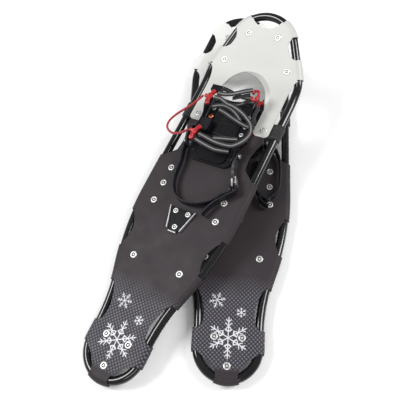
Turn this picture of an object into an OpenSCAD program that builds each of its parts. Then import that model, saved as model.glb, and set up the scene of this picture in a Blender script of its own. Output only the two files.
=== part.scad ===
// A pair of metal-framed snowshoes, one lying across the other.
// Each shoe is drawn in its own frame: X across, Y from tail to head, Z up, top of the deck at Z = 0.
// Along the deck, s is the distance from the tail measured on the sheet, which turns up at the head.

/* [Frame tube] */
// Outside diameter of the frame tube
tube_d = 16; // [14:0.5:17]
// Wall of the frame tube
tube_wall = 1.2; // [1:0.1:2]
// Half width of the frame at its widest, to the tube centre
half_w = 98.5; // [95:0.5:102]
// Radius of the tail, to the tube centre
tail_r = 53.5; // [50:0.5:56]
// Angle at which the sides flare out from the tail
flare_a = 17.8; // [16:0.1:19]
// Distance along the shoe to the tube centre at the head
head_s = 767; // [760:1:780]

/* [Head turn-up] */
// Where the head starts to turn up
bend_s = 602; // [598:1:606]
// Radius of the turn-up
bend_r = 150; // [140:1:170]
// Angle of the turned-up head
ramp_a = 26.5; // [22:0.5:30]

/* [Decks] */
// Thickness of the deck sheets
deck_t = 1.6; // [1.2:0.1:1.7]
// Radius of the toe hole
toe_hole_r = 55; // [54:0.5:55.5]
// Distance along the shoe to the centre of the toe hole
toe_hole_s = 599; // [598:1:600]

/* [Binding] */
// Distance along the shoe to the binding pivot
pivot_y = 542; // [541:1:543]
// Diameter of the pivot rod
rod_d = 7; // [6:0.5:7]
// Half width of the foot plate
plate_w = 46; // [45:0.5:46.5]
// Height of the heel strap band
strap_h = 16; // [14:1:18]

/* [Crampons] */
// Depth of the crampon points below the top of the deck
tooth_depth = 30; // [27:0.5:32]

/* [Stacking] */
// Turn of the upper shoe about X, Y and Z
top_turn = [7.3, -12.5, -24];
// Tail end of the upper shoe in the lower shoe's frame
top_place = [-220.3, -9.7, -5.6];

/* [Hidden] */
$fn = 48;

tube_r = tube_d / 2;
gap = 0.4;                                // air between a wrapped sheet and the tube inside it
tube_z = -(tube_r + gap + deck_t);        // tube centre, so that a wrapped sheet lies level with the deck
wrap_r = tube_r + gap + deck_t;           // outside radius of a wrapped sheet
origin_shift = [65.38, -376.24, tooth_depth];

// ---------------------------------------------------------------- outline of the tube
// The right half of the tube's centre line, as [x, s, direction of the outward normal],
// from the tail (u = 0) to the head.
tail_s = 10 + tail_r;                     // centre of the tail arc
flare_s = 87;                             // start of the flare
low_r = 328;                              // radius of the flare's lower bend
mid_len = 18;                             // straight part of the flare
head_r = 70;                              // radius of the head arc
taper_a = 24.5;                           // the head's sides lean in at this angle
corner_r = 80;                            // radius where the sides start to lean in
head_c = head_s - head_r;                 // centre of the head arc
deg = PI / 180;

low_end = [tail_r + low_r * (1 - cos(flare_a)), flare_s + low_r * sin(flare_a)];
mid_end = low_end + mid_len * [sin(flare_a), cos(flare_a)];
high_r = (half_w - mid_end[0]) / (1 - cos(flare_a));
high_end = mid_end[1] + high_r * sin(flare_a);
taper_top = [head_r * cos(taper_a), head_c + head_r * sin(taper_a)];
taper_run = (half_w - taper_top[0]) / sin(taper_a);
corner_cut = corner_r * tan(taper_a / 2);
corner_s = taper_top[1] - taper_run * cos(taper_a) - corner_cut;

U = [
    0,
    tail_r * 90 * deg,
    tail_r * 90 * deg + flare_s - tail_s,
    tail_r * 90 * deg + flare_s - tail_s + low_r * flare_a * deg,
    tail_r * 90 * deg + flare_s - tail_s + low_r * flare_a * deg + mid_len,
    tail_r * 90 * deg + flare_s - tail_s + (low_r + high_r) * flare_a * deg + mid_len
];
u_high = U[5];                            // end of the flare
u_corner = u_high + corner_s - high_end;  // start of the head's corner
u_taper = u_corner + corner_r * taper_a * deg;
u_arc = u_taper + taper_run - corner_cut; // start of the head arc
u_head = u_arc + head_r * (90 - taper_a) * deg;

function path(u) =
    u < U[1] ? let (a = u / tail_r / deg - 90) [tail_r * cos(a), tail_s + tail_r * sin(a), a] :
    u < U[2] ? [tail_r, tail_s + u - U[1], 0] :
    u < U[3] ? let (a = (u - U[2]) / low_r / deg)
        [tail_r + low_r * (1 - cos(a)), flare_s + low_r * sin(a), -a] :
    u < U[4] ? [low_end[0] + (u - U[3]) * sin(flare_a), low_end[1] + (u - U[3]) * cos(flare_a), -flare_a] :
    u < u_high ? let (a = flare_a - (u - U[4]) / high_r / deg)
        [half_w - high_r * (1 - cos(a)), high_end - high_r * sin(a), -a] :
    u < u_corner ? [half_w, high_end + u - u_high, 0] :
    u < u_taper ? let (a = (u - u_corner) / corner_r / deg)
        [half_w - corner_r * (1 - cos(a)), corner_s + corner_r * sin(a), a] :
    u < u_arc ? let (r = u_arc - u)
        [taper_top[0] + r * sin(taper_a), taper_top[1] - r * cos(taper_a), taper_a] :
    let (a = taper_a + (u - u_arc) / head_r / deg) [head_r * cos(a), head_c + head_r * sin(a), a];

// A point n outside the centre line and h above the deck, at u along the right or left half.
function beside(u, n, h, side = 1) = let (p = path(u))
    bend([side * (p[0] + n * cos(p[2])), p[1] + n * sin(p[2]), h]);
function flat_beside(u, n, side = 1) = let (p = path(u))
    [side * (p[0] + n * cos(p[2])), p[1] + n * sin(p[2])];

// ---------------------------------------------------------------- the turned-up head
bend_len = bend_r * ramp_a * deg;
function tilt(s) = max(0, min(ramp_a, (s - bend_s) / bend_r / deg));
function bend(p) = let (t = tilt(p[1]), past = max(0, p[1] - bend_s - bend_len), r = bend_r - p[2])
    [p[0],
     min(p[1], bend_s) + r * sin(t) + past * cos(t),
     bend_r - r * cos(t) + past * sin(t)];
function plan(points) = [for (p = points) let (q = bend([p[0], p[1], 0])) [q[0], q[1]]];
module on_sheet(x, s) translate(bend([x, s, 0])) rotate([tilt(s), 0, 0]) children();

// ---------------------------------------------------------------- swept solids
// A thick strip: two grids of points of the same size, the outer and the inner face.
module strip(outer, inner, closed = false) {
    n = len(outer);
    m = len(outer[0]);
    last = closed ? m : m - 1;
    side = n * m;
    function o(i, j) = i * m + j % m;
    function q(i, j) = side + i * m + j % m;
    polyhedron(
        points = [for (r = outer) each r, for (r = inner) each r],
        faces = [
            for (i = [0:n - 2], j = [0:last - 1]) each [
                [o(i, j), o(i, j + 1), o(i + 1, j + 1)], [o(i, j), o(i + 1, j + 1), o(i + 1, j)],
                [q(i, j), q(i + 1, j + 1), q(i, j + 1)], [q(i, j), q(i + 1, j), q(i + 1, j + 1)]],
            for (j = [0:last - 1]) each [
                [o(0, j), q(0, j), q(0, j + 1)], [o(0, j), q(0, j + 1), o(0, j + 1)],
                [o(n - 1, j), o(n - 1, j + 1), q(n - 1, j + 1)], [o(n - 1, j), q(n - 1, j + 1), q(n - 1, j)]],
            if (!closed) for (i = [0:n - 2]) each [
                [o(i, 0), o(i + 1, 0), q(i + 1, 0)], [o(i, 0), q(i + 1, 0), q(i, 0)],
                [o(i, last), q(i + 1, last), o(i + 1, last)], [o(i, last), q(i, last), q(i + 1, last)]]
        ]);
}

// A round cord through a list of points.
module cord(points, d, sides = 8) {
    n = len(points);
    function unit(v) = v / norm(v);
    function along(i) = unit(points[min(i + 1, n - 1)] - points[max(i - 1, 0)]);
    rings = [for (i = [0:n - 1]) let (t = along(i), a = unit(cross(t, [0.1, 0.2, 1])), b = cross(a, t))
        [for (k = [0:sides - 1]) points[i] + d / 2 * (a * cos(360 * k / sides) + b * sin(360 * k / sides))]];
    polyhedron(
        points = [for (r = rings) each r],
        faces = [
            [for (k = [0:sides - 1]) k],
            [for (k = [sides - 1:-1:0]) (n - 1) * sides + k],
            for (i = [0:n - 2], k = [0:sides - 1]) let (a = i * sides + k, b = i * sides + (k + 1) % sides) each [
                [a, b + sides, b], [a, a + sides, b + sides]]
        ]);
}

// A smooth curve through hand-set points, with steps points in each span.
function spline(p, steps) = [
    for (i = [0:len(p) - 2], k = [0:steps - 1]) let (
        a = p[max(i - 1, 0)], b = p[i], c = p[i + 1], d = p[min(i + 2, len(p) - 1)], t = k / steps)
        0.5 * (2 * b + (c - a) * t + (2 * a - 5 * b + 4 * c - d) * t ^ 2 + (3 * b - a - 3 * c + d) * t ^ 3),
    p[len(p) - 1]];

// A flat band standing on edge, along a path in plan.
module band(path, t, z0, z1) {
    n = len(path);
    function across(i) = let (v = path[min(i + 1, n - 1)] - path[max(i - 1, 0)]) [-v[1], v[0]] / norm(v);
    translate([0, 0, z0]) linear_extrude(z1 - z0) polygon([
        for (i = [0:n - 1]) path[i] + across(i) * t / 2,
        for (i = [n - 1:-1:0]) path[i] - across(i) * t / 2]);
}

module rod_x(d, x0, x1, y, z) translate([x0, y, z]) rotate([0, 90, 0]) cylinder(d = d, h = x1 - x0);
module rounded(w, l, r) {
    square([w - 2 * r, l], center = true);
    square([w, l - 2 * r], center = true);
    for (x = [-1, 1], y = [-1, 1]) translate([x * (w / 2 - r), y * (l / 2 - r)]) circle(r);
}

// ---------------------------------------------------------------- frame
side_u = [
    for (u = [0.4:9:U[1]]) u, U[2], for (k = [1:5]) U[2] + (U[3] - U[2]) * k / 5,
    U[4], for (k = [1:6]) U[4] + (u_high - U[4]) * k / 6,
    u_corner - 40, for (k = [0:4]) u_corner + (u_taper - u_corner) * k / 4,
    u_taper + 22, u_taper + 44, for (k = [0:6]) u_arc + (u_head - u_arc) * k / 7];
loop_u = [for (u = side_u) [u, 1], [u_head, 1], for (i = [len(side_u) - 1:-1:0]) [side_u[i], -1]];
function loop_rings(r, sides = 12) = [for (st = loop_u) [for (k = [0:sides - 1]) let (a = 360 * k / sides)
    beside(st[0], r * cos(a), tube_z + r * sin(a), st[1])]];

module frame_tube() color("#101012") strip(loop_rings(tube_r), loop_rings(tube_r - tube_wall), true);

// The plug inside the tube's butt joint at the tail.
module tail_ferrule() color("#8a8d92") translate([0, tail_s, tube_z]) rotate([0, 0, 250])
    rotate_extrude(angle = 40) translate([tail_r, 0]) circle(tube_r - tube_wall - 0.6);

// ---------------------------------------------------------------- decks
// A tab wraps over the tube and returns under the deck to its rivet.
flap_a = 165;                             // the wrap leaves the tube at this angle below level
flap_end = 39;                            // the flap ends this far inside the tube centre
function wrap_line(r, out) = [
    [-14, r],
    for (k = [0:10]) let (a = 90 - k * (90 + flap_a) / 10) r * [cos(a), sin(a)],
    [-12.5 - 1.4 * out, tube_r - 0.1 - 1.6 * out],
    [-flap_end, tube_r - 0.1 - 1.6 * out]];
module tab(u0, u1, side, steps) {
    function grid(line) = [for (i = [0:steps]) let (u = u0 + (u1 - u0) * i / steps)
        [for (p = line) beside(abs(u), p[0], tube_z + p[1], side * (u < 0 ? -1 : 1))]];
    outer = grid(wrap_line(wrap_r, 1));
    inner = grid(wrap_line(wrap_r - deck_t, 0));
    if (side > 0) strip(inner, outer);
    else strip(outer, inner);
}

// Stretches of the outline where the sheet is wrapped: [from u, to u, steps].
main_tabs = [[75, 114, 4], [191, 258, 4], [332, 455, 5]];
toe_tabs = [[683, 721, 4], [766, 802, 4]];
tail_tab = 19;

deck_rivet_at = [[0, 31], for (s = [-1, 1]) each [
    [24 * s, 79], [50.5 * s, 224], [68 * s, 336], [67 * s, 374.5], [67.5 * s, 409]]];
toe_rivet_at = [for (s = [-1, 1]) each [[73 * s, 539], [69 * s, 668], [32 * s, 728]]];
heel_rivet_at = [[-13.3, 330], [13.3, 330], [0, 300]];
rivet_hole_r = 2.3;

arm_in = 56;                              // inside edge of the deck's arms
notch_y = 478;                            // bottom of the notch that the binding sits over

// Edges of the sheets between their tabs, as [u, n].
tail_opening = [[19.5, 5], [19.5, 0], [22, -5], [28, -9], [36, -11], [46, -12.5], [54, -11], [61, -8.5],
    [68, -4], [72, 1], [73, 5], [60, 9], [46, 10], [33, 9]];
low_notch = [[114.5, 5], [114.5, 0], [118, -4], [124, -8], [134, -10], [145, -11], [160, -9], [172, -7],
    [182, -4], [188, 1], [189, 5]];
high_notch = [[260, 5], [263, 2], [268, -3], [276, -7], [286, -10], [298, -11], [310, -8], [320, -4], [328, 2], [330, 5]];
head_scallop = [[721.5, 8], [721.5, 0], [725, -4], [730, -7.5], [737, -10], [751, -10], [757, -7.5], [762, -3.5],
    [765.5, 0], [765.5, 8]];
function edge(line, side) = [for (p = line) flat_beside(p[0], p[1], side)];

module main_outline() difference() {
    union() {
        polygon([
            for (u = [0:6:450]) flat_beside(min(u, 455), 0, 1), flat_beside(455, 0, 1),
            flat_beside(455, 0, -1), for (u = [450:-6:0]) flat_beside(u, 0, -1)]);
        for (s = [-1, 1]) polygon([[s * arm_in, 400], [s * 92, 400], [s * 88, 430], [s * 80, 438],
            [s * 75.5, 449], [s * 73.5, 462], [s * 73, 476], [s * 75, 486], [s * 79, 499], [s * 83, 508],
            [s * 84, 514], [s * 82.5, 519.5], [s * 78, 522.2], [s * 62, 522.2], [s * 57.8, 520.4], [s * arm_in, 516]]);
    }
    for (s = [-1, 1], line = [tail_opening, low_notch, high_notch]) polygon(edge(line, s));
    translate([0, notch_y + 40]) rounded(2 * arm_in, 80, 30);
    translate([-arm_in, notch_y + 40]) square([2 * arm_in, 80]);
}

module main_deck() color("#3f3b40") difference() {
    union() {
        translate([0, 0, -deck_t]) linear_extrude(deck_t) main_outline();
        for (s = [-1, 1], t = main_tabs) tab(t[0], t[1], s, t[2]);
        tab(-tail_tab, tail_tab, 1, 4);
    }
    for (p = concat(deck_rivet_at, heel_rivet_at)) translate([p[0], p[1], -9]) cylinder(r = rivet_hole_r, h = 20);
    for (w = crampon_walls) wall_at(w) translate([0, -1.7, -9]) cube([wall_len(w), 3.4, 12]);
}

// The toe deck in plan: the head's outline less its scallops, the toe hole and the room beside the legs.
module toe_outline() difference() {
    polygon(plan([
        [88, 522], for (u = [560:20:660]) flat_beside(u, 0, 1), for (u = [665:7:u_head]) flat_beside(u, 0, 1),
        for (k = [0:17]) let (u = u_head - 7 * k) flat_beside(u, 0, -1),
        for (u = [720:-20:560]) flat_beside(u, 0, -1), [-88, 522]]));
    for (s = [-1, 1]) {
        polygon(plan([[s * 87, 500], [s * 87, 600], [s * 87.5, 625], [s * 89, 637], [s * 91.5, 647], [s * 96, 653.5],
            [s * 120, 657], [s * 120, 500]]));
        polygon(plan(edge(head_scallop, s)));
    }
    polygon(plan([for (k = [0:36]) [40 * cos(10 * k), head_s + 15.5 + 40 * sin(10 * k)]]));
    polygon(plan([for (k = [0:72]) [toe_hole_r * cos(5 * k), toe_hole_s + toe_hole_r * sin(5 * k)]]));
    translate([-toe_hole_r, 480]) square([2 * toe_hole_r, toe_hole_s - 480]);
    for (s = [-1, 1]) difference() {
        translate([s * 71 - 18, 500]) square([36, 32]);
        translate([s * 71, 543]) rounded(2 * (71 - toe_hole_r), 40, 9);
    }
}

module bent_sheet(t) {
    turn = [0, bend_r];
    rotate([90, 0, 90]) linear_extrude(240, center = true) {
        translate([480, -t]) square([bend_s - 480, t]);
        translate([bend_s, 0]) intersection() {
            translate(turn) difference() {
                circle(bend_r + t, $fn = 96);
                circle(bend_r, $fn = 96);
            }
            polygon([turn, [0, -40], [bend_r * tan(ramp_a) * 1.2, -40 + 0.2 * bend_r], turn + 1.3 * bend_r * [sin(ramp_a), -cos(ramp_a)]]);
        }
        translate([bend_s, 0] + turn + bend_r * [sin(ramp_a), -cos(ramp_a)]) rotate(ramp_a)
            translate([0, -t]) square([130, t]);
    }
}

module toe_deck() color("#e9e9e2") difference() {
    union() {
        intersection() {
            bent_sheet(deck_t);
            translate([0, 0, -20]) linear_extrude(120) toe_outline();
        }
        for (s = [-1, 1], t = toe_tabs) tab(t[0], t[1], s, t[2]);
    }
    for (p = toe_rivet_at) on_sheet(p[0], p[1]) translate([0, 0, -9]) cylinder(r = rivet_hole_r, h = 20);
}

// ---------------------------------------------------------------- rivets
// A tubular rivet: a flanged head on a washer, a shank and a clenched foot.
module rivet(grip, head = 6.2) {
    translate([0, 0, 0.05]) rotate_extrude() polygon([
        [1, 1.7], [2.2, 2], [head - 2.5, 1.8], [head - 0.6, 0.9], [head, 0.3], [head, 0], [2, 0],
        [2, -grip], [3.3, -grip], [3.3, -grip - 1], [1, -grip - 1]]);
}
module deck_rivets() color("#cfd0d2") for (p = deck_rivet_at) translate([p[0], p[1], 0]) rivet(4);
module toe_deck_rivets() color("#cfd0d2") for (p = toe_rivet_at) on_sheet(p[0], p[1])
    translate([0, 0, 0.12]) rivet(p[1] < 600 ? 1.85 : 4.1);
module heel_plate_rivets() color("#cfd0d2") for (p = heel_rivet_at) translate([p[0], p[1], 2.6]) rivet(6.85, 5);

// ---------------------------------------------------------------- heel crampon
// Walls of the V, each from its start point to its end point.
crampon_walls = [[[-27, 338], [-13.5, 293]], [[13.5, 293], [27, 338]], [[-9, 289.5], [9, 289.5]]];
function wall_len(w) = norm(w[1] - w[0]);
module wall_at(w) translate([w[0][0], w[0][1], 0])
    rotate([0, 0, atan2(w[1][1] - w[0][1], w[1][0] - w[0][0])]) children();
wall_t = 2;
wall_top = 5.5;

module heel_crampon() color("#b9bbbe") {
    for (w = crampon_walls) wall_at(w) rotate([90, 0, 0]) linear_extrude(wall_t, center = true) {
        l = wall_len(w);
        teeth = max(1, round(l / 16));
        translate([1, -8]) square([l - 2, 8 + wall_top]);
        for (k = [0:teeth - 1]) translate([1 + (k + 0.5) * (l - 2) / teeth, 0])
            polygon([[-6.5, -7], [-2, -tooth_depth], [2, -tooth_depth], [6.5, -7]]);
    }
    difference() {
        translate([0, 0, -4.1]) linear_extrude(2) polygon([[-27, 337], [27, 337], [13, 292], [10, 289], [-10, 289], [-13, 292]]);
        for (p = heel_rivet_at) translate([p[0], p[1], -9]) cylinder(r = rivet_hole_r, h = 20);
    }
}

module heel_plate() color("#26242a") difference() {
    translate([0, 0, 0.2]) linear_extrude(2.3) polygon([[-24, 337], [24, 337], [11.5, 296], [8, 291.5], [-8, 291.5], [-11.5, 296]]);
    for (p = heel_rivet_at) translate([p[0], p[1], -9]) cylinder(r = rivet_hole_r, h = 20);
}

// ---------------------------------------------------------------- pivot
pivot_z = -9.5;
rod_end = 74;
strap_s0 = 527;
strap_s1 = 558;

// A webbing strap at each side, sewn round the tube and round the end of the pivot rod.
module pivot_straps() color("#1c1b1e") for (s = [-1, 1]) mirror([s < 0 ? 1 : 0, 0, 0]) difference() {
    union() {
        translate([half_w, strap_s0, tube_z]) rotate([-90, 0, 0]) cylinder(r = tube_r + 2.6, h = strap_s1 - strap_s0);
        translate([60, strap_s0, tube_z - 3.5]) cube([half_w - 60, strap_s1 - strap_s0, 10]);
        rod_x(rod_d + 7, 58, 80, pivot_y, pivot_z);
    }
    translate([half_w, strap_s0 - 1, tube_z]) rotate([-90, 0, 0]) cylinder(r = tube_r + gap, h = strap_s1 - strap_s0 + 2);
    rod_x(rod_d + 0.1, 50, rod_end + 0.5, pivot_y, pivot_z);
    translate([73, 539, -3.4]) cylinder(r = 3.6, h = 10);
    translate([50, strap_s0 - 1, -2]) cube([half_w - 62, 60, 8]);
}

module pivot_rod() color("#a9abb0") rod_x(rod_d, -rod_end, rod_end, pivot_y, pivot_z);

// ---------------------------------------------------------------- binding
plate_z = 1.2;                            // underside of the foot plate
plate_t = 4;
plate_top = plate_z + plate_t + 0.2;      // pieces on the plate start here
plate_front = 584;
plate_rear = 438;

module foot_plate() color("#232227") difference() {
    translate([0, 0, plate_z]) linear_extrude(plate_t) difference() {
        translate([0, (plate_front + plate_rear) / 2]) rounded(2 * plate_w, plate_front - plate_rear, 15);
        translate([0, plate_front + 61]) circle(71, $fn = 96);
    }
    for (p = wing_rivet_at) translate([p[0], p[1], -5]) cylinder(r = rivet_hole_r, h = 30);
}

module toe_crampon() color("#232227") {
    difference() {
        union() {
            translate([-42, 498, -1]) cube([84, 68, 2]);
            for (s = [-1, 1]) translate([s * 41, 0, 0]) rotate([90, 0, 90]) linear_extrude(2, center = true)
                polygon([[498, 0], [566, 0], [566, -10], [562, -tooth_depth], [558, -tooth_depth], [552, -16],
                    [532, -19], [511, -20], [507, -tooth_depth + 4], [503, -tooth_depth + 4], [498, -12]]);
            translate([0, 565, 0]) rotate([90, 0, 0]) linear_extrude(2, center = true)
                polygon([[-42, 0], [42, 0], [42, -9], [30, -9], [23, -tooth_depth], [19, -tooth_depth], [11, -9],
                    [-11, -9], [-19, -tooth_depth], [-23, -tooth_depth], [-30, -9], [-42, -9]]);
        }
        rod_x(rod_d + 0.14, -50, 50, pivot_y, pivot_z);
        for (p = wing_rivet_at) translate([p[0], p[1], -5]) cylinder(r = rivet_hole_r + 2, h = 30);
    }
}

panel_w = 54;
panel_l = 32;
panel_at = [3, 516];
module tread_panel() color("#2c2a30") translate([panel_at[0], panel_at[1], plate_top]) {
    translate([-panel_w / 2, -panel_l / 2, 0]) cube([panel_w, panel_l, 2]);
    for (k = [-2:2]) translate([-panel_w / 2 + 5, k * 5.5 - 1, 1.5]) cube([panel_w - 10, 2, 1.7]);
}

module heel_pad() color("#1f1e22") translate([0, 0, plate_top]) linear_extrude(3) difference() {
    translate([0, 468.5]) rounded(66, 55, 15);
    translate([0, 535]) square([80, 80], center = true);
}

// The wings rise from flanges on the foot plate. Section of the right one: flange, bend and wall.
wing_t = 2.5;
wing_bend = 6;
wing_x = 44;
module wing_section(lean, wall) {
    c = [wing_x, plate_top + wing_t + wing_bend];
    translate([34.5, plate_top]) square([wing_x - 34.5, wing_t]);
    difference() {
        translate(c) circle(wing_bend + wing_t);
        translate(c) circle(wing_bend);
        translate([0, plate_top]) square([wing_x, 40]);
        translate(c) rotate(lean) translate([-20, 0]) square([40, 20]);
    }
    translate(c) rotate(lean) translate([wing_bend, 0]) square([wing_t, wall]);
}
pin_y = 466;
pin_z = 13;
module wing(lean, wall, outline) difference() {
    intersection() {
        translate([0, 600, 0]) rotate([90, 0, 0]) linear_extrude(200) wing_section(lean, wall);
        rotate([90, 0, 90]) linear_extrude(100) polygon(outline);
    }
    for (p = wing_rivet_at) translate([abs(p[0]), p[1], -5]) cylinder(r = rivet_hole_r, h = 30);
    rod_x(6.2, 40, 70, pin_y, pin_z);
}
function high_outline(h) = [[455, 0], [572, 0], [574, 14], [572, h - 8], [566, h], [548, h], [541, h - 6],
    [534, h * 0.58], [524, h * 0.5], [506, h * 0.5], [498, h * 0.58], [493, h - 4], [487, h], [470, h],
    [464, h - 5], [454, 18]];
module left_wing(lean, wall, h) color("#1d1c21") mirror([1, 0, 0]) wing(lean, wall, high_outline(h));
module right_wing(lean, wall, h) color("#1d1c21") wing(lean, wall, high_outline(h));

wing_rivet_at = [[40, 489], [40, 512], [40, 530], [40, 553], [-40, 489], [-40, 512], [-40, 553]];
copper_at = [-38.2, 534];
module wing_rivets() color("#c9cacc") for (p = wing_rivet_at) translate([p[0], p[1], plate_top + wing_t]) rivet(6.8, 4);
module copper_rivet() color("#a8552f") translate([copper_at[0], copper_at[1], plate_top + wing_t]) rotate_extrude()
    polygon([[0, 0.05], [5.5, 0.05], [5.5, 1.2], [4.2, 2.6], [0, 3]]);

module strap_pins() color("#b9bbbe") for (s = [-1, 1]) mirror([s < 0 ? 1 : 0, 0, 0]) {
    rod_x(6, 48.5, 59.5, pin_y, pin_z);
    rod_x(9, 59.5, 61, pin_y, pin_z);
}

// ---------------------------------------------------------------- laces and their fittings
lace_d = 5;
// The routes' height above the foot plate is multiplied by lift on a binding that is folded flatter.
function lifted(route, lift) = [for (p = route) [p[0], p[1], plate_top + (p[2] - plate_top) * lift]];
lace_route = [
    [-30.5, 556.5, 45], [-18, 557, 44.5], [-8, 553.5, 44], [1.5, 550, 43], [13, 549, 41.5], [27, 545, 39], [36, 541.5, 37],
    [46, 536, 34], [55, 530, 31], [61, 522, 28.5], [64, 512, 27.5], [63, 500, 28.5], [58.5, 488, 31.5], [52, 478, 34.5],
    [44, 472, 35.5], [29, 469.5, 37], [9, 469.5, 39.5], [-7, 472, 42], [-24, 474.5, 43.8]];
lace_front_route = [[-28, 568.5, 44], [-22, 568, 44], [-12, 569, 43.5], [-1, 572.5, 43], [12, 580, 42], [22, 586.5, 41],
    [29, 590.5, 40.3]];
lace_cross_route = [[-31, 542, 34], [-21, 547, 34], [-8, 549.5, 34], [8, 547, 31.5], [21, 541, 27.5], [32, 533, 23]];
lace_side_route = [[-16, 541, 31], [0, 537, 30], [16, 532, 28], [34, 527.5, 25], [46, 525.5, 22.5], [53, 526, 22],
    [60, 531, 21.5]];
lace_rear_route = [[-26.5, 463, 42], [-15, 460.5, 40], [-4, 459, 37.5], [14, 457.5, 33], [28, 460.5, 29], [40, 464.5, 25]];
lace_short_route = [[3, 478, 35], [21, 484, 31], [33, 488, 28], [45, 492.5, 25.5]];
lace_routes = [lace_route, lace_front_route, lace_cross_route, lace_side_route, lace_rear_route, lace_short_route];
module lace(lift) color("#2a292c") for (route = lace_routes) cord(lifted(spline(route, 2), lift), lace_d);

// Free ends of the front lace, cut square.
module lace_tails() color("#161618") {
    translate([0, 565.5, 33]) rotate([0, 0, 28]) cube([36, 7, 3.5]);
    translate([24, 566, 28.5]) rotate([0, 0, 28]) cube([20, 6, 3.5]);
}

// A forked guide: the lace passes its open forks and the pull cord its stem.
module guide_shape() linear_extrude(7, center = true) difference() {
    polygon([[-9, 3], [-2, 4], [2, 16], [8, 14], [4, 3], [7, 0], [4, -3], [8, -14], [2, -16], [-2, -4], [-9, -3]]);
    translate([-4, 0]) circle(1.2);
}
front_guide_at = [-41, 555, 45];
rear_guide_at = [-35, 476, 44];
module front_guide(lift) color("#c9262b") translate(lifted([front_guide_at], lift)[0]) rotate([0, 0, -6]) guide_shape();
module rear_guide(lift) color("#c9262b") translate(lifted([rear_guide_at], lift)[0]) rotate([0, 0, -14]) guide_shape();

// An open ring that turns the front lace back.
ring_at = [44, 584, 38];
module ring_guide(lift) color("#cf2a2f") translate(lifted([ring_at], lift)[0]) rotate([0, 0, 10]) {
    difference() {
        linear_extrude(7, center = true) difference() {
            rounded(16, 27, 7.9);
            rounded(6, 16.5, 2.9);
            translate([-8, 0]) square([12, 7], center = true);
        }
    }
}

// The bracket under the ring, inside the right wing.
module front_arm() color("#19181c") translate([45.4, 0, 0]) rotate([90, 0, 90]) linear_extrude(2.6) difference() {
    polygon([[548, 19], [566, 17], [590, 26], [593, 29], [591, 34], [577, 34], [562, 28], [548, 28]]);
    translate([585, 30]) circle(1.6);
}

// Two locks inside the left wing: one ahead of it, and one above its flange.
module lace_lock() color("#1a191d") {
    translate([-48, 573, 32]) cube([22, 13, 10]);
    translate([-35, 508.5, 10.3]) linear_extrude(13.5) rounded(22, 26, 4);
}

// The loop of red cord that tightens the laces.
loop_route = [[-53.6, 555, 45], [-60, 545, 43], [-73, 530, 38], [-95, 511, 30], [-107, 496, 25], [-108, 482, 23],
    [-97, 471.5, 25], [-81, 467.5, 29], [-62, 471, 36], [-47.8, 477.8, 43.5]];
tucked_route = [[-36, 542, 14], [-24, 546, 13], [-8, 544, 12], [4, 534, 11], [7, 518, 11], [3, 504, 12], [-8, 499.2, 13],
    [-22, 499.2, 14], [-33, 503, 15]];
module pull_loop(route) color("#c8232a") cord(spline(route, 2), 4.2);

// ---------------------------------------------------------------- heel strap
strap_z0 = 4.9;
strap_t = 3.6;
eye_x = 55.6;
module strap_eye() rod_x(15, eye_x - strap_t / 2, eye_x + strap_t / 2, pin_y, pin_z);
module heel_strap(route, end = []) color("#1b1a1e") difference() {
    union() {
        band(spline(route, 3), strap_t, strap_z0, strap_z0 + strap_h);
        if (len(end) > 0) band(spline(end, 3), strap_t, strap_z0, strap_z0 + strap_h);
        mirror([1, 0, 0]) strap_eye();
    }
    rod_x(6.3, -80, -40, pin_y, pin_z);
}
buckle_at = [72.5, 410];
buckle_turn = 26;
function at_buckle(p) = buckle_at + [
    p[0] * cos(buckle_turn) - p[1] * sin(buckle_turn), p[0] * sin(buckle_turn) + p[1] * cos(buckle_turn)];
buckled_route = [[-eye_x, 470], [-55.6, 458], [-53.5, 446], [-49.5, 433], [-46.5, 418], [-45, 402], [-41.5, 385],
    [-35, 369.5], [-25, 356.5], [-10, 348.5], [8, 347.7], [26, 352], [42, 360.5], [53, 370], [62.5, 383],
    at_buckle([-4.7, -15]), at_buckle([-4.6, -7.5]),
    at_buckle([-3.5, -3.6]), at_buckle([0, -1.8]), at_buckle([3.5, -3.6]), at_buckle([4.6, -7.5]), at_buckle([5.2, -15]),
    [78, 391.5], [70.5, 383.5], [63.5, 375.5], [57, 367], [51.5, 357], [47, 346], [44, 336]];
open_route = [[-eye_x, 470], [-55.8, 461], [-60, 455.5], [-68, 455.5], [-76, 452], [-81, 441], [-85, 428], [-86, 408],
    [-86, 385], [-84, 365], [-77, 352], [-67, 342.5], [-56, 341.5], [-45, 350], [-39.5, 366], [-40, 390], [-46, 415],
    [-51, 433]];
open_end = [[-46, 349], [-49, 339], [-55, 331], [-64, 326]];

// A bent wire link from the right pin to the buckle.
link_from = at_buckle([0, 10.5]);
module ladder_link() color("#c9cacc") difference() {
    union() {
        rod_x(13, eye_x - 1.4, eye_x + 1.4, pin_y, pin_z);
        for (z = [7.5, 15.5]) translate([0, 0, z]) linear_extrude(3) polygon([
            [eye_x - 1.4, 464], [eye_x + 1.4, 464], [eye_x + 3, 447], link_from + [3, 1],
            link_from + [0.5, -2], link_from + [-3, 0], [eye_x - 1.4, 446]]);
        for (k = [0.2, 0.5, 0.8]) translate([eye_x + 1 + k * 8, 445 - k * 22, 8]) cylinder(d = 3.2, h = 9);
    }
    rod_x(6.2, 40, 70, pin_y, pin_z);
}
module on_buckle() translate([buckle_at[0], buckle_at[1], strap_z0 + strap_h / 2]) rotate([0, 0, buckle_turn]) children();
module buckle_frame() color("#c2c4c7") on_buckle() difference() {
    cube([3, 16, strap_h + 4.8], center = true);
    cube([4, 11, strap_h + 0.6], center = true);
}
module buckle_lever() color("#b4b6ba") on_buckle() translate([4.8, 0, -7]) {
    difference() {
        cube([2, 13, 14]);
        translate([-1, 6, 3]) cube([4, 4, 8]);
    }
    translate([1, 0, 0]) cylinder(d = 3, h = 14);
}

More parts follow.
